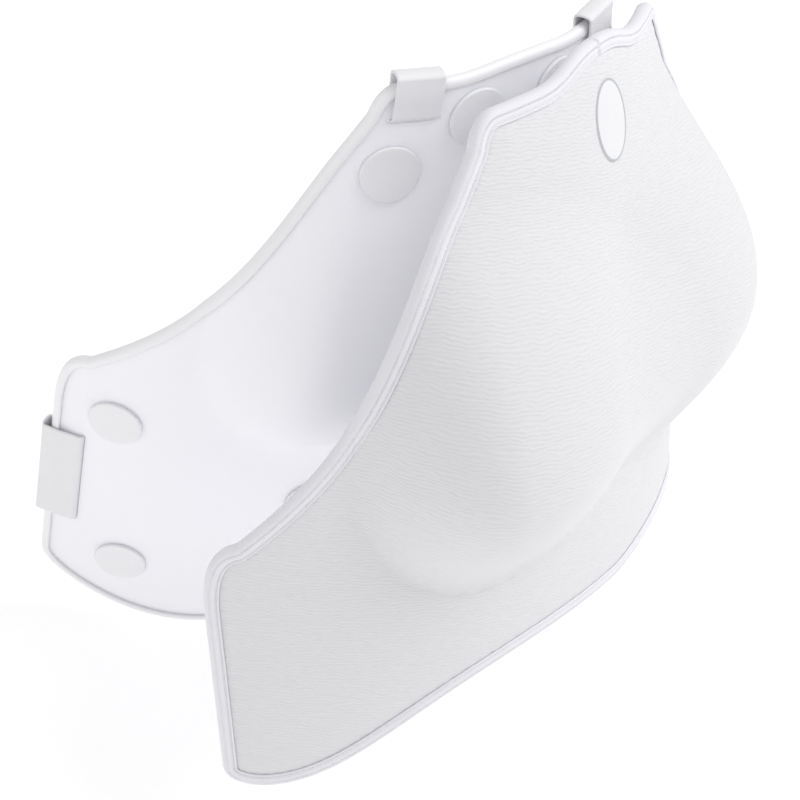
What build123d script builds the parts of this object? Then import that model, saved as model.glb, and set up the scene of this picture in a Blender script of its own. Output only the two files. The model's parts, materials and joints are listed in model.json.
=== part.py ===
"""Chest protector: a hard plate with strap loops, and a padded cover that fastens over it.

Millimetres, +Z up, as worn. The wearer faces -Y, and the wearer's right side is -X.
The origin is where the wrap ellipse crosses the middle of the chest, at the level z = 0.
A place on the wall is given by its wrap angle (degrees round from the breastbone), its
height z, and its depth in front of the plate's rear face.
"""
from build123d import *
from math import cos, degrees, hypot, radians, sin
import os

# --- the wearer's chest, which every layer follows -------------------------------------
CHEST_HALF_WIDTH = 173.0      # across half of the ellipse that the wall wraps
CHEST_HALF_DEPTH = 175.0      # front to middle of the same ellipse
UPPER_FALL = 8.4              # how far the chest falls back 100 mm above FALL_START
FALL_START = 40.0
WAIST_TAPER = 8.8             # how far the wings draw in per 100 mm upward
CUP_RISE = 36.5
CUP_ANGLE = 25.3              # wrap angle of each cup's top
CUP_LEVEL = 42.0              # height of each cup's top
CUP_INNER_SPREAD = 35.7       # degrees from the cup's top to its foot, toward the middle
CUP_OUTER_SPREAD = 18.1       # the same, toward the arm
CUP_UPPER_SPREAD = 107.0      # mm from the cup's top up to its foot
CUP_LOWER_SPREAD = 71.0       # and down

# --- outline shared by the plate and the cover ------------------------------------------
WING_ANGLE = 62.5             # wrap angle at which both wings end
SHOULDER_HEIGHT = 177.5
SHOULDER_DROP = 0.5           # from the inner to the outer end of a shoulder tab
TAB_INNER_ANGLE = 13.6
TAB_OUTER_ANGLE = 22.4
TAB_CORNER_ANGLE = 3.0        # what the tab's outer corner takes off its top
ARMHOLE = [(23.6, 165.0), (42.0, 83.0), (36.0, 74.0), (57.8, 13.6)]
WING_TOP = 10.6
WING_TOP_CORNER = 30.0        # how far down the wing's end its upper corner reaches

# --- plate -----------------------------------------------------------------------------
PLATE_WALL = 2.5
PLATE_NECK_HEIGHT = 180.0
PLATE_SKIRT = [(WING_ANGLE, -124.5), (WING_ANGLE, -148.0), (47.0, -136.0),
               (33.5, -230.0), (8.0, -100.0), (0.0, -100.0)]
RIM_WALL = 1.0
RIM_CLEARANCE = 0.4
RIM_LEG = 3.2                 # how far the rim's legs reach in over the plate

# --- strap loops -----------------------------------------------------------------------
LOOP_WEBBING = 1.1
LOOP_CLEARANCE = 0.5          # between the webbing and the rim
LOOP_REACH = 7.0              # out past the plate's edge
LOOP_SLOT_DEPTH = 15.0        # from the plate's edge in to the slot's middle line
SLOT_CLEARANCE = 0.5
SIDE_LOOP_WIDTH = 60.0        # for 50 mm elastic
SIDE_LOOP_LEVEL = -66.0
SHOULDER_LOOP_WIDTH = 20.0

# --- hook dots (wrap angle, height) ------------------------------------------------------
DOT_DIAMETER = 25.0
DOT_THICKNESS = 1.6
DOT_GLUE = 0.3
DOT_PLACES = {"neck": (7.5, 160.0), "chest": (20.0, 140.0), "wing_upper": (53.0, -19.0),
              "wing_lower": (50.0, -118.0), "rib": (22.0, -62.0)}

# --- cover -----------------------------------------------------------------------------
COVER_STANDOFF = 4.9          # from the plate's front face to the lining
LINING = 0.5
FOAM = 3.0
FABRIC = 0.6
GLUE_LINE = 0.3
COVER_NECK_HEIGHT = 185.0
COVER_SKIRT = [(WING_ANGLE, -104.0), (WING_ANGLE, -127.5), (33.5, -117.5),
               (47.7, -48.0), (6.0, -69.0), (0.0, -69.0)]
BINDING_TAPE = 0.6
BINDING_GAP = 0.5
BINDING_LEG = 5.5
LABEL_WIDTH = 20.0
LABEL_HEIGHT = 42.0
LABEL_LEVEL = 156.0
LABEL_THICKNESS = 0.5

# --- how the cover lies beside the plate: turned about one slanting line ----------------
SWING_POINT = (0.0, 41.6, 245.1)
SWING_DIRECTION = (-0.792, 0.079, 0.605)
SWING_ANGLE = 24.5

# --- how finely the curves are laid out ------------------------------------------------
EDGE_STEPS = 12
HEIGHT_STEPS = 16
STATION_PITCH = 6.5
EDGE_PITCH = 5.0
PATCH_STEPS = 4

os.makedirs("parts", exist_ok=True)


def bezier(points, steps):
    """Points along the Bezier curve of these control points, its first one left out."""
    curve = Bezier(*points, mode=Mode.PRIVATE)
    return [tuple(curve @ (i / steps))[:2] for i in range(1, steps + 1)]


def outline(neck_height, skirt):
    """Upper and lower edge of one half, each from the breastbone to the wing's end."""
    half = TAB_INNER_ANGLE / 2
    tab_top = SHOULDER_HEIGHT - SHOULDER_DROP
    tab_inner = (TAB_INNER_ANGLE, SHOULDER_HEIGHT)
    tab_outer = (TAB_OUTER_ANGLE - TAB_CORNER_ANGLE, tab_top)
    wing_end = (WING_ANGLE, WING_TOP - WING_TOP_CORNER)
    upper = [(0.0, neck_height)]
    upper += bezier([upper[0], (half, neck_height), (half, SHOULDER_HEIGHT), tab_inner], EDGE_STEPS)
    upper.append(tab_outer)
    upper += bezier([tab_outer, (TAB_OUTER_ANGLE, tab_top), ARMHOLE[0]], EDGE_STEPS)
    upper += bezier(ARMHOLE, 2 * EDGE_STEPS)
    upper += bezier([ARMHOLE[-1], (WING_ANGLE, WING_TOP), wing_end], EDGE_STEPS)
    lower = [skirt[0]] + bezier(skirt, 5 * EDGE_STEPS)
    return upper, lower[::-1]


def height_at(edge, angle):
    """Height of an upper or lower edge at a wrap angle."""
    for (a0, z0), (a1, z1) in zip(edge, edge[1:]):
        if a0 <= angle < a1:
            return z0 + (z1 - z0) * (angle - a0) / (a1 - a0)
    return edge[-1][1]


def rise(angle, height):
    """Distance of the plate's rear face outside the wrap ellipse."""
    fall = UPPER_FALL * (max(height - FALL_START, 0) / 100) ** 2 * cos(radians(angle))
    taper = WAIST_TAPER * height / 100 * sin(radians(angle)) ** 2
    cups = 0
    for side in (-1, 1):
        across = side * angle - CUP_ANGLE
        across /= CUP_INNER_SPREAD if across < 0 else CUP_OUTER_SPREAD
        along = height - CUP_LEVEL
        along /= CUP_UPPER_SPREAD if along > 0 else CUP_LOWER_SPREAD
        cups += CUP_RISE * max(0, 1 - across ** 2 - along ** 2) ** 2
    return cups - fall - taper


def upright(angle):
    """The upright plane across the wall at a wrap angle: x outward, y up."""
    turn = radians(angle)
    foot = Vector(CHEST_HALF_WIDTH * sin(turn), CHEST_HALF_DEPTH * (1 - cos(turn)))
    outward = Vector(CHEST_HALF_DEPTH * sin(turn), -CHEST_HALF_WIDTH * cos(turn))
    return Plane(origin=foot, x_dir=outward, z_dir=outward.cross(Vector(0, 0, 1)))


def on_upright(angle, height, depth):
    """Where a layer at this depth crosses the upright plane, as (outward, up)."""
    slope = rise(angle, height + 0.5) - rise(angle, height - 0.5)
    length = hypot(1, slope)
    return rise(angle, height) + depth / length, height - depth * slope / length


def place(angle, height, depth=0.0):
    """A place on the wall in the object's own axes."""
    return upright(angle).from_local_coords(Vector(*on_upright(angle, height, depth)))


def outward_at(angle, height):
    """The direction square to the wall, away from the chest."""
    across = place(angle + 0.5, height) - place(angle - 0.5, height)
    up = place(angle, height + 0.5) - place(angle, height - 0.5)
    return across.cross(up).normalized()


def stations(edges):
    """Wrap angles, wing to wing, at which an edge has gone on by one pitch."""
    chosen = [0.0]
    for angle in sorted({round(a, 3) for edge in edges for a, _ in edge}):
        step = radians(angle - chosen[-1]) * CHEST_HALF_WIDTH
        moves = [height_at(edge, angle) - height_at(edge, chosen[-1]) for edge in edges]
        if hypot(step, *moves) > STATION_PITCH:
            chosen.append(angle)
    if chosen[-1] < WING_ANGLE:
        chosen.append(WING_ANGLE)
    return [-a for a in chosen[:0:-1]] + chosen


def wall_profiles(edges, rear, front):
    """Upright closed profiles of one layer, from one wing's end to the other's."""
    profiles = []
    shares = [i / HEIGHT_STEPS for i in range(HEIGHT_STEPS + 1)]
    for angle in stations(edges):
        top, bottom = (height_at(edge, abs(angle)) for edge in edges)
        heights = [bottom + (top - bottom) * share for share in shares]
        front_line = [on_upright(angle, height, front) for height in heights]
        rear_line = [on_upright(angle, height, rear) for height in heights]
        with BuildSketch(upright(angle)) as profile:
            with BuildLine():
                add(Edge.make_spline(front_line, parameters=shares))
                add(Edge.make_spline(rear_line, parameters=shares))
                Line(front_line[0], rear_line[0])
                Line(front_line[-1], rear_line[-1])
            make_face()
        profiles.append(profile.sketch)
    return profiles


def edge_places(edges):
    """Evenly spaced places (angle, height) along one half's edge, from neck to skirt."""
    upper, lower = edges
    path = upper + lower[::-1]
    spots = [place(*spot) for spot in path]
    travelled = [0.0]
    for before, after in zip(spots, spots[1:]):
        travelled.append(travelled[-1] + (after - before).length)
    count = round(travelled[-1] / EDGE_PITCH)
    chosen = [path[0]]
    i = 0
    for step in range(1, count):
        target = travelled[-1] * step / count
        while travelled[i + 1] < target:
            i += 1
        share = (target - travelled[i]) / (travelled[i + 1] - travelled[i])
        chosen.append(tuple(p + (q - p) * share for p, q in zip(path[i], path[i + 1])))
    return chosen + [path[-1]]


def channel_profiles(edges, rear, front, clearance, wall, leg):
    """Sections of a U channel gripping a layered edge, along the left half of it."""
    spots = edge_places(edges)
    middle = (rear + front) / 2
    profiles = []
    for i, spot in enumerate(spots):
        before, after = spots[max(i - 1, 0)], spots[min(i + 1, len(spots) - 1)]
        along = place(*after, middle) - place(*before, middle)
        if i in (0, len(spots) - 1):
            along = Vector(along.X, 0, 0)
        section = Plane(origin=place(*spot, middle), x_dir=outward_at(*spot), z_dir=along)
        through = (place(*spot, front) - place(*spot, rear)) / 2
        lean = through.dot(section.y_dir) / through.dot(section.x_dir)
        inner = through.dot(section.x_dir) + clearance
        outer = inner + wall
        corners = [(-outer, leg), (-outer, -clearance - wall), (outer, -clearance - wall),
                   (outer, leg), (inner, leg), (inner, -clearance), (-inner, -clearance),
                   (-inner, leg)]
        with BuildSketch(section) as profile:
            with BuildLine():
                Polyline([(x, y + lean * x) for x, y in corners], close=True)
            make_face()
        profiles.append(profile.sketch)
    return profiles


def loop_plane(edge_spot, inner_spot, next_spot, side):
    """Plane across a strap loop: origin on the plate's edge, x outward, y in toward its slot."""
    edge, inner, following = (
        Vector(*(a * b for a, b in zip(place(*spot, PLATE_WALL / 2), (side, 1, 1))))
        for spot in (edge_spot, inner_spot, next_spot)
    )
    along = (following - edge) * side
    return Plane(origin=edge, x_dir=(inner - edge).cross(along), z_dir=along)


def patch_profiles(angle, height, size, rear, front):
    """Upright profiles of a small square of one layer, to be trimmed to a disc."""
    profiles = []
    width, tall = size
    spread = degrees(width / 2 / CHEST_HALF_WIDTH) * 1.15
    shares = [i / PATCH_STEPS for i in range(PATCH_STEPS + 1)]
    heights = [height + (share - 0.5) * tall * 1.15 for share in shares]
    for share in shares:
        turn = angle + (2 * share - 1) * spread
        with BuildSketch(upright(turn)) as profile:
            with BuildLine():
                front_line = [on_upright(turn, z, front) for z in heights]
                rear_line = [on_upright(turn, z, rear) for z in heights]
                add(Edge.make_spline(front_line, parameters=shares))
                add(Edge.make_spline(rear_line, parameters=shares))
                Line(front_line[0], rear_line[0])
                Line(front_line[-1], rear_line[-1])
            make_face()
        profiles.append(profile.sketch)
    return profiles


def face_plane(angle, height):
    """Plane lying on the wall, z outward and x level."""
    across = place(angle + 0.5, height) - place(angle - 0.5, height)
    return Plane(place(angle, height), across, outward_at(angle, height))


# --- shared places ---------------------------------------------------------------------
SWING = Plane(origin=SWING_POINT, z_dir=SWING_DIRECTION)
COVER_POSE = SWING.location * Location((0, 0, 0), (0, 0, SWING_ANGLE)) * SWING.location.inverse()
PLATE_EDGES = outline(PLATE_NECK_HEIGHT, PLATE_SKIRT)
COVER_EDGES = outline(COVER_NECK_HEIGHT, COVER_SKIRT)

TAB_ANGLE = (TAB_INNER_ANGLE + TAB_OUTER_ANGLE - TAB_CORNER_ANGLE / 2) / 2
SLOT_ANGLE = degrees(LOOP_SLOT_DEPTH / CHEST_HALF_WIDTH)
SIDE_SPOTS = ((WING_ANGLE, SIDE_LOOP_LEVEL), (WING_ANGLE - SLOT_ANGLE, SIDE_LOOP_LEVEL),
              (WING_ANGLE, SIDE_LOOP_LEVEL - 1))
SHOULDER_SPOTS = ((TAB_ANGLE, SHOULDER_HEIGHT), (TAB_ANGLE, SHOULDER_HEIGHT - LOOP_SLOT_DEPTH),
                  (TAB_ANGLE + 1, SHOULDER_HEIGHT))
LOOPS = {
    f"{name}_loop_{hand}": (loop_plane(*spots, side), width)
    for name, spots, width in (("side", SIDE_SPOTS, SIDE_LOOP_WIDTH),
                               ("shoulder", SHOULDER_SPOTS, SHOULDER_LOOP_WIDTH))
    for hand, side in (("left", 1), ("right", -1))
}

# --- plate: one smooth wall, slotted for the loops ----------------------------------------
with BuildPart() as plate:
    loft(wall_profiles(PLATE_EDGES, 0, PLATE_WALL))
    for section, width in LOOPS.values():
        slot = Plane(origin=section.from_local_coords((0, LOOP_SLOT_DEPTH, 0)),
                     x_dir=section.z_dir, z_dir=section.x_dir)
        with BuildSketch(slot):
            SlotOverall(width + 2 * SLOT_CLEARANCE + LOOP_WEBBING, LOOP_WEBBING + 2 * SLOT_CLEARANCE)
        extrude(amount=4 * PLATE_WALL, both=True, mode=Mode.SUBTRACT)
plate.part.label = "plate"
export_step(plate.part, "parts/plate.step")

# --- rim: two lengths of soft channel round the plate's edge ----------------------------------
for hand in ("left", "right"):
    with BuildPart() as plate_rim:
        loft(channel_profiles(PLATE_EDGES, 0, PLATE_WALL, RIM_CLEARANCE, RIM_WALL, RIM_LEG))
        if hand == "right":
            mirror(about=Plane.YZ, mode=Mode.REPLACE)
    plate_rim.part.label = f"plate_rim_{hand}"
    export_step(plate_rim.part, f"parts/plate_rim_{hand}.step")

# --- strap loops: webbing rings through the slots and round the rim --------------------------
tunnel = PLATE_WALL + 2 * (RIM_CLEARANCE + RIM_WALL + LOOP_CLEARANCE)
ring_height = tunnel + 2 * LOOP_WEBBING
ring_inner_end = LOOP_SLOT_DEPTH + LOOP_WEBBING / 2
ring_middle = (ring_inner_end - LOOP_REACH) / 2
ring_length = ring_inner_end + LOOP_REACH
for name, (section, width) in LOOPS.items():
    with BuildPart() as strap_loop:
        with BuildSketch(section):
            with Locations((0, ring_middle)):
                SlotOverall(ring_length, ring_height, rotation=90)
                SlotOverall(ring_length - 2 * LOOP_WEBBING, tunnel, rotation=90, mode=Mode.SUBTRACT)
        extrude(amount=width / 2, both=True)
    strap_loop.part.label = name
    export_step(strap_loop.part, f"parts/{name}.step")

# --- hook dots stuck on the plate's face ------------------------------------------------------
dot_rear = PLATE_WALL + DOT_GLUE
dot_front = dot_rear + DOT_THICKNESS
for spot, (angle, height) in DOT_PLACES.items():
    for hand, side in (("left", 1), ("right", -1)):
        turn = side * angle
        with BuildPart() as hook_dot:
            loft(patch_profiles(turn, height, (DOT_DIAMETER, DOT_DIAMETER), dot_rear, dot_front))
            with BuildSketch(face_plane(turn, height)):
                Circle(DOT_DIAMETER / 2)
            extrude(amount=4 * dot_front, both=True, mode=Mode.INTERSECT)
        hook_dot.part.label = f"hook_dot_{spot}_{hand}"
        export_step(hook_dot.part, f"parts/hook_dot_{spot}_{hand}.step")

# --- cover: lining, foam and fabric, one over the other -----------------------------------------
lining_rear = PLATE_WALL + COVER_STANDOFF
foam_rear = lining_rear + LINING + GLUE_LINE
fabric_rear = foam_rear + FOAM + GLUE_LINE
fabric_front = fabric_rear + FABRIC
for name, rear, thickness in (("cover_lining", lining_rear, LINING),
                              ("cover_foam", foam_rear, FOAM),
                              ("cover_fabric", fabric_rear, FABRIC)):
    with BuildPart() as layer:
        loft(wall_profiles(COVER_EDGES, rear, rear + thickness))
    layer.part.label = name
    export_step(COVER_POSE * layer.part, f"parts/{name}.step")

# --- binding: two lengths of tape folded round the cover's edge ---------------------------------------------
tape = (lining_rear, fabric_front, BINDING_GAP, BINDING_TAPE, BINDING_LEG)
for hand in ("left", "right"):
    with BuildPart() as cover_binding:
        loft(channel_profiles(COVER_EDGES, *tape))
        if hand == "right":
            mirror(about=Plane.YZ, mode=Mode.REPLACE)
    cover_binding.part.label = f"cover_binding_{hand}"
    export_step(COVER_POSE * cover_binding.part, f"parts/cover_binding_{hand}.step")

# --- label: a bare oval patch below the neck ---------------------------------------------------
label_rear = fabric_front + GLUE_LINE
with BuildPart() as label_patch:
    loft(patch_profiles(0, LABEL_LEVEL, (LABEL_WIDTH, LABEL_HEIGHT), label_rear,
                        label_rear + LABEL_THICKNESS))
    with BuildSketch(face_plane(0, LABEL_LEVEL)):
        Ellipse(LABEL_WIDTH / 2, LABEL_HEIGHT / 2)
    extrude(amount=2 * fabric_front, both=True, mode=Mode.INTERSECT)
label_patch.part.label = "label_patch"
export_step(COVER_POSE * label_patch.part, "parts/label_patch.step")
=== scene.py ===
import bpy
import json
import numpy as np
from math import cos, pi, radians, sin
from mathutils import Matrix, Vector, kdtree


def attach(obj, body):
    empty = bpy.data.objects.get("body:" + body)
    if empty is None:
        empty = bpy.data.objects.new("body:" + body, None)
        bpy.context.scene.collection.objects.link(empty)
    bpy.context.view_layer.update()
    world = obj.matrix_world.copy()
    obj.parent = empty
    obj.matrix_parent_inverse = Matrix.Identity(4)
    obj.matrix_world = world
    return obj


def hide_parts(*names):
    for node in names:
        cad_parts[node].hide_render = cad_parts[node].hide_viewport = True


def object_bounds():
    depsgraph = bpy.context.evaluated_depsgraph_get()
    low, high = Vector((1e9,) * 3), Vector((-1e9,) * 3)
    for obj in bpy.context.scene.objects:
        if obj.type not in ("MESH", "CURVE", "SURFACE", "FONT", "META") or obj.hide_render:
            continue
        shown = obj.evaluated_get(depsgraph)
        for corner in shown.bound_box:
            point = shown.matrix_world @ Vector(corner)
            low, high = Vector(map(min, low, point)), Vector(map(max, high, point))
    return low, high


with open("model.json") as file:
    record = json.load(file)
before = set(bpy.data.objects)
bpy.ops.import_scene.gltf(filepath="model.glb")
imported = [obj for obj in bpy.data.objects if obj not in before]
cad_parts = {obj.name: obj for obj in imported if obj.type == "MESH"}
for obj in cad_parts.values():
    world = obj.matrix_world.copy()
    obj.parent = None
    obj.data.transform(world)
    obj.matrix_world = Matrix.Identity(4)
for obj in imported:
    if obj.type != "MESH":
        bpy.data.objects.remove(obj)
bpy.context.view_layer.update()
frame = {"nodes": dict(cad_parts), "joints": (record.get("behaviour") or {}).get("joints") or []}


# --- Plate -----------------------------------------------------------------------------------
# The wearer's hard shell: polyethylene sheet, vacuum formed over a chest-shaped mould with two
# cups, then trimmed and slotted. Its face is satin smooth, with a faint ripple from the forming.
chest_half_width, chest_half_depth = 0.173, 0.175
plate_wall = 0.0025
wing_angle = 62.5
upper_fall, fall_start, waist_taper = 0.84, 0.040, 0.088
cup_rise, cup_angle, cup_level = 0.0365, 25.3, 0.042
cup_inner_spread, cup_outer_spread = 35.7, 18.1
cup_upper_spread, cup_lower_spread = 0.107, 0.071

# A place on the wall is a wrap angle in degrees from the breastbone, a height in metres, and a
# depth in metres in front of the plate's rear face.


def rise(angle, height):
    """How far the wall stands outside the ellipse that it wraps."""
    turn = np.radians(angle)
    fall = upper_fall * np.maximum(height - fall_start, 0) ** 2 * np.cos(turn)
    taper = waist_taper * height * np.sin(turn) ** 2
    cups = 0
    for side in (-1, 1):
        across = side * angle - cup_angle
        across = across / np.where(across < 0, cup_inner_spread, cup_outer_spread)
        along = height - cup_level
        along = along / np.where(along > 0, cup_upper_spread, cup_lower_spread)
        cups = cups + cup_rise * np.clip(1 - across ** 2 - along ** 2, 0, 1) ** 2
    return cups - fall - taper


def wall_point(angle, height, depth=0.0):
    """Places on the wall: arrays of angles, heights and depths to an array of points."""
    angle, height, depth = np.broadcast_arrays(
        np.asarray(angle, float), np.asarray(height, float), np.asarray(depth, float))
    turn = np.radians(angle)
    out_x = chest_half_depth * np.sin(turn)
    out_y = -chest_half_width * np.cos(turn)
    near = 0.0005
    slope = (rise(angle, height + near) - rise(angle, height - near)) / (2 * near)
    square = np.hypot(1, slope)
    out = (rise(angle, height) + depth / square) / np.hypot(out_x, out_y)
    return np.stack([chest_half_width * np.sin(turn) + out_x * out,
                     chest_half_depth * (1 - np.cos(turn)) + out_y * out,
                     height - depth * slope / square], -1)


def unit(vectors):
    """The same directions at a length of one."""
    return vectors / np.linalg.norm(vectors, axis=-1, keepdims=True)


def wall_outward(angle, height):
    """Directions square to the wall, away from the chest."""
    across = wall_point(angle + 0.3, height) - wall_point(angle - 0.3, height)
    up = wall_point(angle, height + 0.001) - wall_point(angle, height - 0.001)
    return unit(np.cross(across, up))


def new_piece(name, points, faces, coords, body):
    """A smooth mesh object on a body, with sheet coordinates in metres for its material."""
    mesh = bpy.data.meshes.new(name)
    mesh.from_pydata([tuple(p) for p in points], [], faces)
    layer = mesh.uv_layers.new(name="sheet")
    corners = np.zeros(len(mesh.loops), np.int32)
    mesh.loops.foreach_get("vertex_index", corners)
    layer.data.foreach_set("uv", np.asarray(coords, np.float32)[corners].ravel())
    mesh.polygons.foreach_set("use_smooth", [True] * len(mesh.polygons))
    piece = bpy.data.objects.new(name, mesh)
    bpy.context.scene.collection.objects.link(piece)
    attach(piece, body)
    return piece


def grid_faces(rows, columns, close_rows=False, close_columns=False, start=0):
    """Four-sided faces over a grid of points, closed on itself where asked."""
    faces = []
    for r in range(rows if close_rows else rows - 1):
        for c in range(columns if close_columns else columns - 1):
            r2, c2 = (r + 1) % rows, (c + 1) % columns
            corners = (r * columns + c, r2 * columns + c, r2 * columns + c2, r * columns + c2)
            faces.append(tuple(start + i for i in corners))
    return faces


def add_node(tree, kind, inputs=None, **settings):
    """A shader node with its settings made, and its inputs set or joined by name or number."""
    node = tree.nodes.new(kind)
    for key, value in settings.items():
        setattr(node, key, value)
    for key, value in (inputs or {}).items():
        if isinstance(value, bpy.types.NodeSocket):
            tree.links.new(value, node.inputs[key])
        else:
            node.inputs[key].default_value = value
    return node


def new_group(name, given, made):
    """An empty node group with named inputs and outputs."""
    group = bpy.data.node_groups.new(name, "ShaderNodeTree")
    for way, sockets in (("INPUT", given), ("OUTPUT", made)):
        for socket, kind in sockets.items():
            group.interface.new_socket(socket, in_out=way, socket_type="NodeSocket" + kind)
    return group, group.nodes.new("NodeGroupInput"), group.nodes.new("NodeGroupOutput")


def new_material(name, roughness, **steady):
    """A Principled material, with its steady values set on the shader's own sockets."""
    material = bpy.data.materials.new(name)
    material.use_nodes = True
    shader = material.node_tree.nodes["Principled BSDF"]
    shader.inputs["Roughness"].default_value = roughness
    for socket, value in steady.items():
        shader.inputs[socket.replace("_", " ").title()].default_value = value
    return material, material.node_tree, shader


def give(piece, material):
    """The piece gets this one material."""
    piece.data.materials.clear()
    piece.data.materials.append(material)


def moulded_group():
    """Soft change of tone and gloss, and a slight ripple, as in formed and dipped plastic."""
    group, given, made = new_group(
        "moulded_plastic", {"Light": "Color", "Dark": "Color", "Patches": "Float", "Gloss": "Float"},
        {"Colour": "Color", "Roughness": "Float", "Height": "Float"})
    where = add_node(group, "ShaderNodeTexCoord")
    broad = add_node(group, "ShaderNodeTexNoise", {
        "Vector": where.outputs["Object"], "Scale": given.outputs["Patches"], "Detail": 3.0})
    fine = add_node(group, "ShaderNodeTexNoise", {
        "Vector": where.outputs["Object"], "Scale": 700.0, "Detail": 2.0})
    tone = add_node(group, "ShaderNodeMix", {
        0: broad.outputs["Fac"], 6: given.outputs["Dark"], 7: given.outputs["Light"]},
        data_type="RGBA")
    gloss = add_node(group, "ShaderNodeMath", {
        0: broad.outputs["Fac"], 1: 0.16, 2: given.outputs["Gloss"]}, operation="MULTIPLY_ADD")
    height = add_node(group, "ShaderNodeMath", {
        0: fine.outputs["Fac"], 1: 0.12, 2: broad.outputs["Fac"]}, operation="MULTIPLY_ADD")
    group.links.new(tone.outputs[2], made.inputs["Colour"])
    group.links.new(gloss.outputs[0], made.inputs["Roughness"])
    group.links.new(height.outputs[0], made.inputs["Height"])
    return group


moulded_plastic = moulded_group()


def moulded_material(name, light, dark, patches, gloss, ripple, **steady):
    """Plastic whose tone and gloss drift over patches of a given size."""
    material, tree, shader = new_material(name, 0.4, **steady)
    finish = add_node(tree, "ShaderNodeGroup", node_tree=moulded_plastic)
    for socket, value in (("Light", light), ("Dark", dark), ("Patches", patches), ("Gloss", gloss)):
        finish.inputs[socket].default_value = value
    bump = add_node(tree, "ShaderNodeBump", {
        "Height": finish.outputs["Height"], "Strength": 0.6, "Distance": ripple})
    tree.links.new(finish.outputs["Colour"], shader.inputs["Base Color"])
    tree.links.new(finish.outputs["Roughness"], shader.inputs["Roughness"])
    tree.links.new(bump.outputs["Normal"], shader.inputs["Normal"])
    return material


plate = frame["nodes"]["plate"]
# The plate's plastic also glows faintly: painted light that brightens its face where the cover shades
# it.
give(plate, moulded_material("plate_plastic", (0.85, 0.85, 0.90, 1), (0.83, 0.825, 0.88, 1), 16.0,
                             0.30, 0.0008, coat_weight=0.1, coat_roughness=0.3,
                             subsurface_weight=0.6, subsurface_scale=0.008,
                             subsurface_radius=(1, 1, 1), emission_color=(0.95, 0.95, 1, 1),
                             emission_strength=0.06))


# --- Rim -------------------------------------------------------------------------------------
# A soft vinyl bead pushed over the plate's trimmed edge, in two lengths that butt at the neck
# and the skirt. It hides the cut and keeps the edge off the wearer's ribs.
plate_neck, shoulder_height, armhole_start = 0.180, 0.1775, (23.6, 0.165)
armhole_end, wing_corner = (57.8, 0.0136), 0.030
plate_skirt = [(wing_angle, -0.1245), (wing_angle, -0.148), (47.0, -0.136), (33.5, -0.230),
               (8.0, -0.100), (0.0, -0.100)]
bead_nose, bead_leg, bead_reach = 0.00265, 0.0032, 0.0014
bead_slot, slot_floor, bead_girth = 0.00135, 0.0003, 0.03


def curve(points, steps=80):
    """Points along the Bezier curve of these control points."""
    share = np.linspace(0, 1, steps)[:, None]
    line = [np.array([p], float) for p in points]
    while len(line) > 1:
        line = [a * (1 - share) + b * share for a, b in zip(line, line[1:])]
    return line[0]


def half_outline(neck, skirt):
    """Upper and lower edge of the wearer's left half, as rows of wrap angle and height."""
    collar = curve([(0, neck), (6.8, neck), (6.8, shoulder_height), (13.6, shoulder_height)])
    tab = curve([(19.4, 0.177), (22.4, 0.177), armhole_start])
    armhole = curve([armhole_start, (42, 0.083), (36, 0.074), armhole_end])
    wing = curve([armhole_end, (wing_angle, 0.0106), (wing_angle, 0.0106 - wing_corner)])
    lower = np.vstack([curve(skirt, 240)[::-1], [skirt[0]]])
    return np.vstack([collar, tab, armhole[1:], wing[1:]]), lower


def whole_outline(neck, skirt, pitch):
    """Evenly spaced places round the whole edge, from the neck by the wearer's left side."""
    upper, lower = half_outline(neck, skirt)
    half = np.vstack([upper, lower[::-1]])
    path = np.vstack([half, (half * (-1, 1))[::-1]])
    steps = np.linalg.norm(np.diff(wall_point(path[:, 0], path[:, 1]), axis=0), axis=1)
    keep = np.concatenate([[True], steps > 1e-6])
    travelled = np.concatenate([[0], np.cumsum(steps)])
    stops = np.linspace(0, travelled[-1], int(travelled[-1] / pitch) + 1)[:-1]
    places = np.stack([np.interp(stops, travelled[keep], path[keep, i]) for i in (0, 1)], -1)
    return places, stops


def edge_sweep(places, section, rear, front):
    """Points of a section carried round an edge: out from mid-wall, and in from the edge."""
    angle, height = places[:, 0], places[:, 1]
    middle = wall_point(angle, height, (rear + front) / 2)
    along = unit(np.roll(middle, -2, 0) - np.roll(middle, 2, 0))
    outward = wall_outward(angle, height)
    outward = unit(outward - along * (outward * along).sum(-1, keepdims=True))
    inward = np.cross(along, outward)
    through = wall_point(angle, height, front) - wall_point(angle, height, rear)
    through = through / (through * outward).sum(-1, keepdims=True)
    rings = [middle + through * out + inward * y for out, y in section]
    return np.stack(rings, 1)


def swept_piece(name, points, stops, girth, body):
    """A piece from a closed section carried round a whole edge. Girth is the way round it."""
    rows, columns = points.shape[:2]
    coords = np.stack(np.meshgrid(stops, np.linspace(0, girth, columns), indexing="ij"), -1)
    return new_piece(name, points.reshape(-1, 3), grid_faces(rows, columns, True, True),
                     coords.reshape(-1, 2), body)


nose = [(bead_nose * cos(a), bead_nose - bead_reach - bead_nose * sin(a))
        for a in np.linspace(0, pi, 17)]
leg = [(-bead_nose, 0.0024), (-0.00245, 0.0030), (-0.0020, bead_leg), (-bead_slot, bead_leg),
       (-bead_slot, -slot_floor)]
bead = nose + leg + [(-x, y) for x, y in leg[::-1]]
rim_places, rim_stops = whole_outline(plate_neck, plate_skirt, 0.002)
rim = swept_piece("plate_rim", edge_sweep(rim_places, bead, 0.0, plate_wall), rim_stops,
                  bead_girth, "plate_body")
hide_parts("plate_rim_left", "plate_rim_right")
# The bead is coloured whiter than the plate: painted highlight along the plate's edge.
give(rim, moulded_material("edging", (0.95, 0.95, 0.965, 1), (0.93, 0.93, 0.95, 1), 60.0,
                           0.34, 0.0002))


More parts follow.
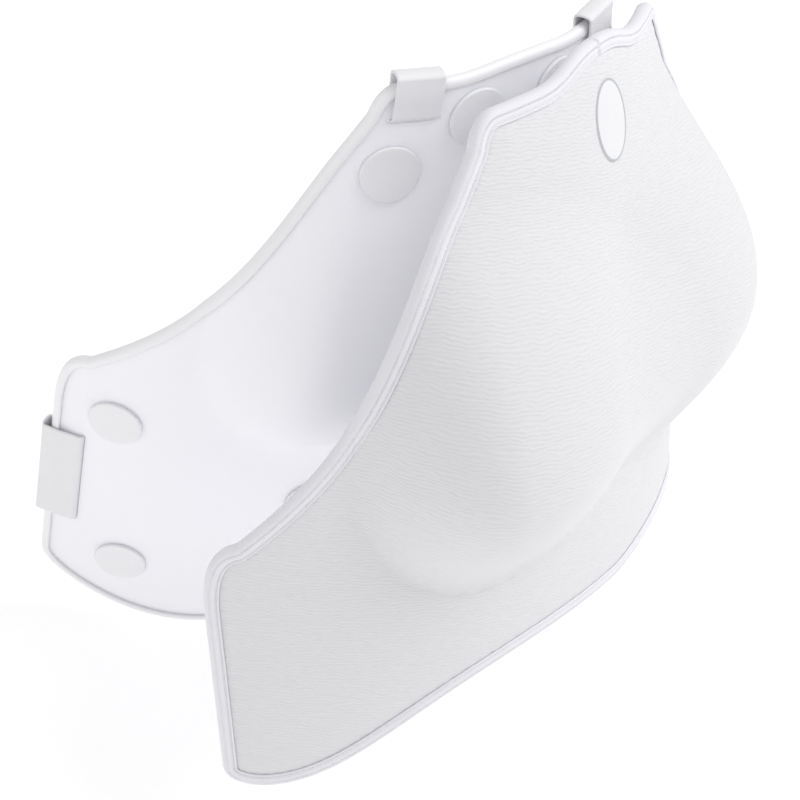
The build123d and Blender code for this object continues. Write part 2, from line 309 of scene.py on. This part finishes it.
# --- Strap loops -----------------------------------------------------------------------------
# Flat nylon webbing passed through the plate's slots and round the rim, its ends heat welded
# into a ring behind. The rib straps and the shoulder straps are threaded through them.
slot_depth, loop_reach, band = 0.015, 0.0055, 0.0011
side_width, side_level = 0.060, -0.066
shoulder_width, tab_angle = 0.020, 17.25
loop_half_height, waist_half_height, slot_half_height = 0.0037, 0.0029, 0.0026


def weave_group():
    """Plain weave from crossing yarns of two pitches, with a soft change of tone."""
    group, given, made = new_group(
        "plain_weave", {"Light": "Color", "Dark": "Color", "Warp": "Float", "Weft": "Float"},
        {"Colour": "Color", "Height": "Float"})
    where = add_node(group, "ShaderNodeTexCoord")
    split = add_node(group, "ShaderNodeSeparateXYZ", {0: where.outputs["UV"]})
    waves = []
    for axis, pitch in (("X", "Warp"), ("Y", "Weft")):
        turns = add_node(group, "ShaderNodeMath", {
            0: split.outputs[axis], 1: given.outputs[pitch]}, operation="DIVIDE")
        phase = add_node(group, "ShaderNodeMath", {0: turns.outputs[0], 1: pi}, operation="MULTIPLY")
        waves.append(add_node(group, "ShaderNodeMath", {0: phase.outputs[0]}, operation="SINE"))
    crossing = add_node(group, "ShaderNodeMath", {
        0: waves[0].outputs[0], 1: waves[1].outputs[0]}, operation="MULTIPLY")
    height = add_node(group, "ShaderNodeMath", {
        0: crossing.outputs[0], 1: 0.5, 2: 0.5}, operation="MULTIPLY_ADD")
    wear = add_node(group, "ShaderNodeTexNoise", {
        "Vector": where.outputs["Object"], "Scale": 120.0, "Detail": 3.0})
    share = add_node(group, "ShaderNodeMath", {
        0: height.outputs[0], 1: wear.outputs["Fac"]}, operation="ADD")
    halved = add_node(group, "ShaderNodeMath", {0: share.outputs[0], 1: 0.5}, operation="MULTIPLY")
    tone = add_node(group, "ShaderNodeMix", {
        0: halved.outputs[0], 6: given.outputs["Dark"], 7: given.outputs["Light"]}, data_type="RGBA")
    group.links.new(tone.outputs[2], made.inputs["Colour"])
    group.links.new(height.outputs[0], made.inputs["Height"])
    return group


plain_weave = weave_group()


def woven_material(name, light, dark, warp, weft, relief, roughness, **steady):
    """Cloth or webbing woven at these pitches, in metres."""
    material, tree, shader = new_material(name, roughness, **steady)
    weave = add_node(tree, "ShaderNodeGroup", node_tree=plain_weave)
    for socket, value in (("Light", light), ("Dark", dark), ("Warp", warp), ("Weft", weft)):
        weave.inputs[socket].default_value = value
    bump = add_node(tree, "ShaderNodeBump", {
        "Height": weave.outputs["Height"], "Strength": 0.7, "Distance": relief})
    tree.links.new(weave.outputs["Colour"], shader.inputs["Base Color"])
    tree.links.new(bump.outputs["Normal"], shader.inputs["Normal"])
    return material


def softened(path, times=4):
    """A closed path with its corners cut again and again into curves."""
    for _ in range(times):
        after = np.roll(path, -1, 0)
        path = np.stack([0.75 * path + 0.25 * after, 0.25 * path + 0.75 * after], 1).reshape(-1, 2)
    return path


def strap_loop(name, edge_spot, inner_spot, next_spot, side, width):
    """A webbing ring: slim where it passes the slot, and full where it turns outside the rim."""
    edge, inner, following = (
        wall_point(*spot, plate_wall / 2) * (side, 1, 1) for spot in (edge_spot, inner_spot, next_spot))
    across = unit((following - edge) * side)
    through = unit(np.cross(inner - edge, across))
    inward = np.cross(across, through)
    half = [(loop_half_height, y) for y in (band / 2 - loop_reach, -0.0015, 0.0045)]
    half += [(waist_half_height, 0.0100), (slot_half_height, slot_depth)]
    path = softened(np.array(half + [(-x, y) for x, y in half[::-1]]))
    after, before = np.roll(path, -1, 0), np.roll(path, 1, 0)
    normal = unit(np.stack([(after - before)[:, 1], (before - after)[:, 0]], -1))
    flat = np.linspace(-1, 1, 25) * (width / 2 - band / 2)
    selvedge = [(band / 2 * sin(a), band / 2 * cos(a)) for a in np.linspace(0, pi, 7)[1:-1]]
    section = [(v, band / 2) for v in flat]
    section += [(flat[-1] + v, n) for v, n in selvedge]
    section += [(v, -band / 2) for v in flat[::-1]]
    section += [(flat[0] - v, n) for v, n in selvedge[::-1]]
    points = []
    for (x, y), (nx, ny) in zip(path, normal):
        for v, n in section:
            points.append(edge + through * (x + nx * n) + inward * (y + ny * n) + across * v)
    run = np.concatenate([[0], np.cumsum(np.linalg.norm(after - path, axis=1))[:-1]])
    coords = [(length, v) for length in run for v, _ in section]
    faces = grid_faces(len(path), len(section), True, True)
    piece = new_piece(name + "_webbing", points, faces, coords, "plate_body")
    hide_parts(name)
    return piece


webbing = woven_material("webbing", (0.90, 0.90, 0.92, 1), (0.82, 0.82, 0.845, 1), 0.0006, 0.0011,
                         0.00007, 0.7, sheen_weight=0.2, sheen_roughness=0.5)
slot_turn = np.degrees(slot_depth / chest_half_width)
side_spots = ((wing_angle, side_level), (wing_angle - slot_turn, side_level),
              (wing_angle, side_level - 0.001))
shoulder_spots = ((tab_angle, shoulder_height), (tab_angle, shoulder_height - slot_depth),
                  (tab_angle + 1, shoulder_height))
for hand, side in (("left", 1), ("right", -1)):
    give(strap_loop("side_loop_" + hand, *side_spots, side, side_width), webbing)
    give(strap_loop("shoulder_loop_" + hand, *shoulder_spots, side, shoulder_width),
         webbing)


# --- Hook dots -------------------------------------------------------------------------------
# Round patches of moulded hook tape glued to the plate's face, ten of them. They grip the
# looped lining inside the fabric cover and hold it on. Their edges are die cut and rounded.
dot_radius, dot_rear, dot_front, dot_edge = 0.0125, 0.0028, 0.0044, 0.0006
dot_places = {"neck": (7.5, 0.160), "chest": (20.0, 0.140), "wing_upper": (53.0, -0.019),
              "wing_lower": (50.0, -0.118), "rib": (22.0, -0.062)}


def patch_places(angle, height, offsets):
    """Wrap angles and heights whose places lie at these level and upward offsets from a spot."""
    here = wall_point(angle, height)
    outward = wall_outward(np.array(angle, float), np.array(height, float))
    level = wall_point(angle + 0.5, height) - wall_point(angle - 0.5, height)
    level = unit(level - outward * (level @ outward))
    upward = np.cross(outward, level)
    spots = np.tile([float(angle), float(height)], (len(offsets), 1))
    per_degree = np.linalg.norm(wall_point(angle + 0.5, height) - wall_point(angle - 0.5, height))
    per_height = np.linalg.norm(wall_point(angle, height + 0.001) - wall_point(angle, height)) / 0.001
    for _ in range(30):
        reached = wall_point(spots[:, 0], spots[:, 1]) - here
        error = offsets - np.stack([reached @ level, reached @ upward], -1)
        spots = spots + error * 0.7 / (per_degree, per_height)
    return spots


def patch_piece(name, angle, height, half_size, rear, front, round_off, body, ring_count=14):
    """A flat round or oval patch that follows the wall, with its upper edge rounded off."""
    spokes = 96
    turns = np.linspace(0, 2 * pi, spokes, endpoint=False)
    shares = [(i + 0.02) / ring_count for i in range(ring_count)]
    edge_turn = np.linspace(0, pi / 2, 6)
    inset = round_off / min(half_size)
    rings = [(s * (1 - inset), front) for s in shares]
    rings += [(1 - inset + inset * sin(a), front - round_off + round_off * cos(a)) for a in edge_turn]
    rings += [(1.0, rear), (0.02, rear)]
    offsets = np.array([(share * half_size[0] * cos(t), share * half_size[1] * sin(t))
                        for share, _ in rings for t in turns])
    depth = np.repeat([d for _, d in rings], spokes)
    spots = patch_places(angle, height, offsets)
    points = wall_point(spots[:, 0], spots[:, 1], depth)
    faces = [face[::-1] for face in grid_faces(len(rings), spokes, False, True)]
    last = (len(rings) - 1) * spokes
    faces += [tuple(range(spokes)), tuple(last + i for i in reversed(range(spokes)))]
    return new_piece(name, points, faces, offsets, body)


def hook_tape():
    """Milky hook tape, its hooks in close, slightly uneven rows."""
    material, tree, shader = new_material("hook_tape", 0.55, sheen_weight=0.3, sheen_roughness=0.4)
    where = add_node(tree, "ShaderNodeTexCoord")
    hooks = add_node(tree, "ShaderNodeTexVoronoi", {
        "Vector": where.outputs["UV"], "Scale": 1100.0, "Randomness": 0.35}, voronoi_dimensions="2D")
    height = add_node(tree, "ShaderNodeMapRange", {
        "Value": hooks.outputs["Distance"], "From Max": 0.6, "To Min": 1.0, "To Max": 0.0})
    tone = add_node(tree, "ShaderNodeMix", {
        0: height.outputs[0], 6: (0.90, 0.90, 0.93, 1), 7: (0.95, 0.95, 0.965, 1)}, data_type="RGBA")
    bump = add_node(tree, "ShaderNodeBump", {
        "Height": height.outputs[0], "Strength": 0.5, "Distance": 0.00012})
    tree.links.new(tone.outputs[2], shader.inputs["Base Color"])
    tree.links.new(bump.outputs["Normal"], shader.inputs["Normal"])
    return material


hook_field = hook_tape()
for spot, (angle, height) in dot_places.items():
    for hand, side in (("left", 1), ("right", -1)):
        node = f"hook_dot_{spot}_{hand}"
        dot = patch_piece(node + "_tape", side * angle, height, (dot_radius, dot_radius),
                          dot_rear, dot_front, dot_edge, "plate_body")
        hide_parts(node)
        give(dot, hook_field)


# --- Cover pad -------------------------------------------------------------------------------
# Thin foam faced with a fine ribbed knit, pressed hot over a mould so that it keeps the plate's
# cups. It lifts off the plate's hook dots to be washed, and lies here partly swung away.
cover_neck = 0.185
cover_skirt = [(wing_angle, -0.104), (wing_angle, -0.1275), (33.5, -0.1175), (47.7, -0.048),
               (6.0, -0.069), (0.0, -0.069)]
pad_rear, pad_front = 0.0080, 0.0121
stitch_pitch = 0.0061
swing = frame["joints"][0]


def swung(points):
    """Points of the seated cover to where it lies at rest, turned about the swing joint."""
    pivot = np.array(swing["pos_m"])
    turn = Matrix.Rotation(radians(-swing["range_deg"][0]), 3, Vector(swing["axis"]))
    return (np.asarray(points) - pivot) @ np.array(turn).T + pivot


def eased(distance, start, end):
    """Zero before the start, one past the end, and a smooth step between them."""
    share = np.clip((distance - start) / (end - start), 0, 1)
    return share * share * (3 - 2 * share)


edge_pitch = 0.0008
cover_places, cover_stops = whole_outline(cover_neck, cover_skirt, edge_pitch)
cover_edge = kdtree.KDTree(len(cover_places))
for number, point in enumerate(wall_point(cover_places[:, 0], cover_places[:, 1])):
    cover_edge.insert(point, number)
cover_edge.balance()


def sheet_piece(name, rear, front, shape, columns=330, rows=225):
    """A closed sheet over the cover's outline. shape gives its front depth beyond the plain one
    from the distance to the edge, the way along the edge and the place on the sheet."""
    upper, lower = half_outline(cover_neck, cover_skirt)
    share = np.linspace(-1, 1, columns)
    angle = wing_angle * np.sign(share) * np.abs(share) ** 0.96
    keep = np.concatenate([[True], np.diff(upper[:, 0]) > 1e-9])
    top = np.interp(np.abs(angle), upper[keep, 0], upper[keep, 1])
    falling = lower[np.argsort(lower[:, 0], kind="stable")]
    bottom = np.interp(np.abs(angle), falling[:, 0], falling[:, 1])
    down = np.linspace(0, 1, rows)[:, None]
    height = top + (bottom - top) * down
    wide = np.broadcast_to(angle, height.shape)
    spots = wall_point(wide, height).reshape(-1, 3)
    nearest = [cover_edge.find(spot)[1:] for spot in spots]
    distance = np.array([d for _, d in nearest]).reshape(height.shape)
    run = cover_stops[[i for i, _ in nearest]].reshape(height.shape)
    extra = shape(distance, run, wide, height)
    face = wall_point(wide, height, front + extra)
    back = wall_point(wide, height, rear)
    points = swung(np.vstack([face.reshape(-1, 3), back.reshape(-1, 3)]))
    count = rows * columns
    faces = grid_faces(rows, columns)
    faces += [tuple(count + i for i in f[::-1]) for f in grid_faces(rows, columns)]
    border = list(range(columns)) + [r * columns + columns - 1 for r in range(1, rows)]
    border += [(rows - 1) * columns + c for c in range(columns - 2, -1, -1)]
    border += [r * columns for r in range(rows - 2, 0, -1)]
    for a, b in zip(border, border[1:] + border[:1]):
        faces.append((a, b, count + b, count + a))
    across = np.radians(wide) * chest_half_width
    coords = np.tile(np.stack([across, height], -1).reshape(-1, 2), (2, 1))
    return new_piece(name, points, faces, coords, "cover_body")


def pad_face(distance, run, angle, height):
    """The pad is pinched under the binding, puckers at its stitches and fills out past them."""
    pinch = -0.00045 * (1 - eased(distance, 0.0050, 0.0075))
    fill = 0.00035 * eased(distance, 0.0060, 0.0150)
    pucker = 0.00010 * np.sin(run * 2 * pi / stitch_pitch) * eased(distance, 0.0052, 0.0062)
    pucker = pucker * (1 - eased(distance, 0.0065, 0.0120))
    drift = 0.00012 * np.sin(angle * 0.31 + height * 55) * np.sin(height * 83 - angle * 0.17)
    return pinch + fill + pucker + drift * eased(distance, 0.006, 0.02)


def knit_group():
    """Short, nearly level ribs of a fine knit, broken and wandering, with a soft drift of tone."""
    group, given, made = new_group(
        "ribbed_knit", {"Light": "Color", "Dark": "Color", "Pitch": "Float", "Slope": "Float"},
        {"Colour": "Color", "Height": "Float"})
    where = add_node(group, "ShaderNodeTexCoord")
    split = add_node(group, "ShaderNodeSeparateXYZ", {0: where.outputs["UV"]})
    wander = add_node(group, "ShaderNodeTexNoise", {
        "Vector": where.outputs["UV"], "Scale": 130.0, "Detail": 2.0}, noise_dimensions="2D")
    lean = add_node(group, "ShaderNodeMath", {
        0: split.outputs["X"], 1: given.outputs["Slope"], 2: split.outputs["Y"]},
        operation="MULTIPLY_ADD")
    sway = add_node(group, "ShaderNodeMath", {
        0: wander.outputs["Fac"], 1: 0.0034, 2: lean.outputs[0]}, operation="MULTIPLY_ADD")
    turns = add_node(group, "ShaderNodeMath", {
        0: sway.outputs[0], 1: given.outputs["Pitch"]}, operation="DIVIDE")
    phase = add_node(group, "ShaderNodeMath", {0: turns.outputs[0], 1: 2 * pi}, operation="MULTIPLY")
    wave = add_node(group, "ShaderNodeMath", {0: phase.outputs[0]}, operation="SINE")
    stretch = add_node(group, "ShaderNodeMapping", {
        "Vector": where.outputs["UV"], "Scale": (220.0, 600.0, 1.0)})
    lengths = add_node(group, "ShaderNodeTexNoise", {
        "Vector": stretch.outputs[0], "Scale": 1.0, "Detail": 1.0}, noise_dimensions="2D")
    broken = add_node(group, "ShaderNodeMapRange", {
        "Value": lengths.outputs["Fac"], "From Min": 0.32, "From Max": 0.62,
        "To Min": 0.15, "To Max": 1.0})
    ribs = add_node(group, "ShaderNodeMath", {
        0: wave.outputs[0], 1: broken.outputs[0]}, operation="MULTIPLY")
    height = add_node(group, "ShaderNodeMath", {
        0: ribs.outputs[0], 1: 0.5, 2: 0.5}, operation="MULTIPLY_ADD")
    tone = add_node(group, "ShaderNodeMix", {
        0: height.outputs[0], 6: given.outputs["Dark"], 7: given.outputs["Light"]}, data_type="RGBA")
    group.links.new(tone.outputs[2], made.inputs["Colour"])
    group.links.new(height.outputs[0], made.inputs["Height"])
    return group


ribbed_knit = knit_group()


def knit_material(name, light, dark, pitch, slope, relief, **steady):
    """Knitted cloth with ribs at this pitch, in metres."""
    material, tree, shader = new_material(name, 0.85, **steady)
    knit = add_node(tree, "ShaderNodeGroup", node_tree=ribbed_knit)
    for socket, value in (("Light", light), ("Dark", dark), ("Pitch", pitch), ("Slope", slope)):
        knit.inputs[socket].default_value = value
    bump = add_node(tree, "ShaderNodeBump", {
        "Height": knit.outputs["Height"], "Strength": 0.6, "Distance": relief})
    tree.links.new(knit.outputs["Colour"], shader.inputs["Base Color"])
    tree.links.new(bump.outputs["Normal"], shader.inputs["Normal"])
    return material


cover_pad = sheet_piece("cover_pad", pad_rear, pad_front, pad_face)
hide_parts("cover_fabric", "cover_foam")
give(cover_pad, knit_material("cover_cloth", (0.80, 0.80, 0.82, 1), (0.74, 0.74, 0.765, 1), 0.0016,
                              0.22, 0.00022, sheen_weight=0.25, sheen_roughness=0.5))


# --- Cover lining ----------------------------------------------------------------------------
# A brushed loop knit laminated behind the foam. The plate's hook dots catch in its nap
# anywhere, so the cover can be laid on without lining anything up.
lining_rear, lining_front = 0.0074, 0.0079


def lining_face(distance, run, angle, height):
    """The lining lies flat on the foam all over."""
    return np.zeros_like(distance)


cover_lining = sheet_piece("cover_lining_cloth", lining_rear, lining_front, lining_face, 220, 160)
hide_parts("cover_lining")
give(cover_lining, knit_material("lining", (0.80, 0.80, 0.82, 1), (0.68, 0.68, 0.71, 1), 0.0012,
                                 -0.15, 0.00030, sheen_weight=0.6, sheen_roughness=0.6))


# --- Binding ---------------------------------------------------------------------------------
# Woven tape folded over the cover's edge and stitched through near its inner border. The
# stitches draw a groove in the tape, and its border stands up beside the pad as a thin lip.
tape_half, fold_depth, fold_start, tape_girth = 0.0033, 0.0026, 0.0015, 0.022
fold = [(tape_half * cos(a), fold_start - fold_depth * sin(a)) for a in np.linspace(0, pi, 15)]
flap = [(-0.00335, 0.0024), (-0.0032, 0.0034), (-0.0031, 0.0040), (-0.00262, 0.0045),
        (-0.00268, 0.0048), (-0.0031, 0.0052), (-0.0030, 0.0057), (-0.00255, 0.0059),
        (-0.0021, 0.0057), (-0.0021, 0.0)]
tape_section = fold + flap + [(-x, y) for x, y in flap[::-1]]
binding_places, binding_stops = whole_outline(cover_neck, cover_skirt, 0.0020)
tape = edge_sweep(binding_places, tape_section, lining_rear, pad_front)
binding = swept_piece("cover_binding", swung(tape), binding_stops, tape_girth, "cover_body")
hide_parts("cover_binding_left", "cover_binding_right")
give(binding, woven_material("binding_tape", (0.88, 0.88, 0.92, 1), (0.80, 0.795, 0.85, 1),
                             0.0006, 0.0006, 0.00010, 0.75, sheen_weight=0.2,
                             sheen_roughness=0.5))

# Lockstitches in bulky white thread lie in the groove on both faces of the binding.
thread, stitch_steps, seam_inset, seam_height = 0.00024, 4, 0.00465, 0.00272
stitch_points, stitch_faces, stitch_coords = [], [], []
for out in (seam_height, -seam_height):
    seam, above_seam = (edge_sweep(cover_places, [(x, seam_inset)], lining_rear, pad_front)[:, 0]
                        for x in (out, out * 1.2))
    lift = unit(above_seam - seam)
    for first in range(0, len(seam) - stitch_steps, stitch_steps):
        spots = seam[first:first + stitch_steps]
        up = lift[first:first + stitch_steps]
        sideways = np.cross(unit(spots[-1] - spots[0]), up)
        start = len(stitch_points)
        for spot, u, s, size in zip(spots, up, sideways, (0.45, 1.0, 1.0, 0.45)):
            for turn in np.linspace(0, 2 * pi, 6, endpoint=False):
                stitch_points.append(spot + (u * cos(turn) + s * sin(turn)) * thread * size)
                stitch_coords.append((first * edge_pitch, turn * thread))
        stitch_faces += grid_faces(stitch_steps, 6, False, True, start)
        stitch_faces.append(tuple(start + i for i in reversed(range(6))))
        stitch_faces.append(tuple(start + 6 * (stitch_steps - 1) + i for i in range(6)))
stitches = new_piece("binding_stitches", swung(stitch_points), stitch_faces, stitch_coords,
                     "cover_body")
give(stitches, woven_material("thread", (0.88, 0.88, 0.90, 1), (0.76, 0.76, 0.79, 1), 0.0004,
                              0.0004, 0.00004, 0.6))


# --- Label -----------------------------------------------------------------------------------
# A blank oval of smooth woven tape bonded to the cover below the neck, its border overlocked
# in fine grey thread.
label_half, label_level = (0.0098, 0.0165), 0.154
label_rear, label_front, label_edge = 0.0124, 0.0129, 0.0003
border_laps, border_steps, border_inset = 8, 240, 0.0006
label = patch_piece("label_oval", 0.0, label_level, label_half, label_rear, label_front,
                    label_edge, "cover_body")
seated_label = [vertex.co for vertex in label.data.vertices]
for vertex, spot in zip(label.data.vertices, swung(seated_label)):
    vertex.co = spot
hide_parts("label_patch")
give(label, woven_material("label", (0.86, 0.86, 0.88, 1), (0.80, 0.80, 0.825, 1), 0.0003, 0.0004,
                           0.00003, 0.6))
border_turns = np.linspace(0, 2 * pi, border_steps, endpoint=False)
border_points = []
for turn in border_turns:
    wobble = 1 + 0.006 * sin(turn * 120)
    for lap in np.linspace(0, 2 * pi, border_laps, endpoint=False):
        reach = 0.00055 * cos(lap) * wobble
        border_points.append(((label_half[0] - border_inset + reach) * cos(turn),
                              (label_half[1] - border_inset + reach) * sin(turn),
                              label_front - 0.0001 + 0.00022 * sin(lap)))
border_points = np.array(border_points)
border_spots = patch_places(0.0, label_level, border_points[:, :2])
border_coords = [(turn * 0.016, lap * 0.0003) for turn in border_turns for lap in range(border_laps)]
border_rings = wall_point(border_spots[:, 0], border_spots[:, 1], border_points[:, 2])
label_border = new_piece("label_border", swung(border_rings),
                         grid_faces(border_steps, border_laps, True, True), border_coords,
                         "cover_body")
give(label_border, woven_material("label_thread", (0.62, 0.63, 0.66, 1), (0.45, 0.46, 0.50, 1),
                                  0.0005, 0.002, 0.00012, 0.7))


# --- Studio ----------------------------------------------------------------------------------
# A white floor under a broad soft light from high in front of the wearer's left shoulder, with
# a weaker one from the wearer's right and pale light all round.
floor_mesh = bpy.data.meshes.new("studio_floor")
floor_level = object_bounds()[0][2] - 0.002
floor_mesh.from_pydata([(x, y, floor_level) for x, y in ((-6, -6), (6, -6), (6, 6), (-6, 6))], [],
                       [(0, 1, 2, 3)])
floor = bpy.data.objects.new("studio_floor", floor_mesh)
bpy.context.scene.collection.objects.link(floor)
floor_mesh.materials.append(new_material("studio_white", 0.9)[0])
floor_finish = floor_mesh.materials[0].node_tree.nodes["Principled BSDF"].inputs
floor_finish["Base Color"].default_value = (0.75, 0.75, 0.75, 1)
floor_finish["Emission Color"].default_value = (1, 1, 1, 1)
floor_finish["Emission Strength"].default_value = 0.5
for name, spot, size, watts in (("key_light", (0.9, -0.5, 1.6), 1.2, 20.0),
                                ("front_light", (-1.6, -0.4, 0.8), 1.4, 4.0)):
    lamp = bpy.data.lights.new(name, "AREA")
    lamp.size, lamp.energy = size, watts
    holder = bpy.data.objects.new(name, lamp)
    holder.location = spot
    holder.rotation_euler = Vector(spot).to_track_quat("Z", "Y").to_euler()
    bpy.context.scene.collection.objects.link(holder)
world = bpy.data.worlds.new("studio_air")
world.use_nodes = True
world.node_tree.nodes["Background"].inputs["Color"].default_value = (1, 1, 1, 1)
world.node_tree.nodes["Background"].inputs["Strength"].default_value = 0.54
bpy.context.scene.world = world
bpy.context.scene.view_settings.view_transform = "Standard"

# The camera looks down on the wearer's right side, tipped over to the right.
azimuth, elevation, roll = radians(-50.16), radians(49.06), radians(15.57)
aim, distance = Vector((-0.02916, 0.00456, -0.00617)), 0.7776
back = Vector((sin(azimuth) * cos(elevation), -cos(azimuth) * cos(elevation), sin(elevation)))
level = Vector((cos(azimuth), sin(azimuth), 0))
upright = back.cross(level)
right = level * cos(roll) + upright * sin(roll)
above = upright * cos(roll) - level * sin(roll)
camera = bpy.data.objects.new("camera", bpy.data.cameras.new("camera"))
camera.data.lens, camera.data.sensor_width = 75.4, 36.0
camera.data.shift_x, camera.data.shift_y = 0.0040, 0.0030
camera.data.clip_start = 0.05
camera.matrix_world = Matrix.Translation(aim + back * distance) @ Matrix(
    (right, above, back)).transposed().to_4x4()
bpy.context.scene.collection.objects.link(camera)
bpy.context.scene.camera = camera
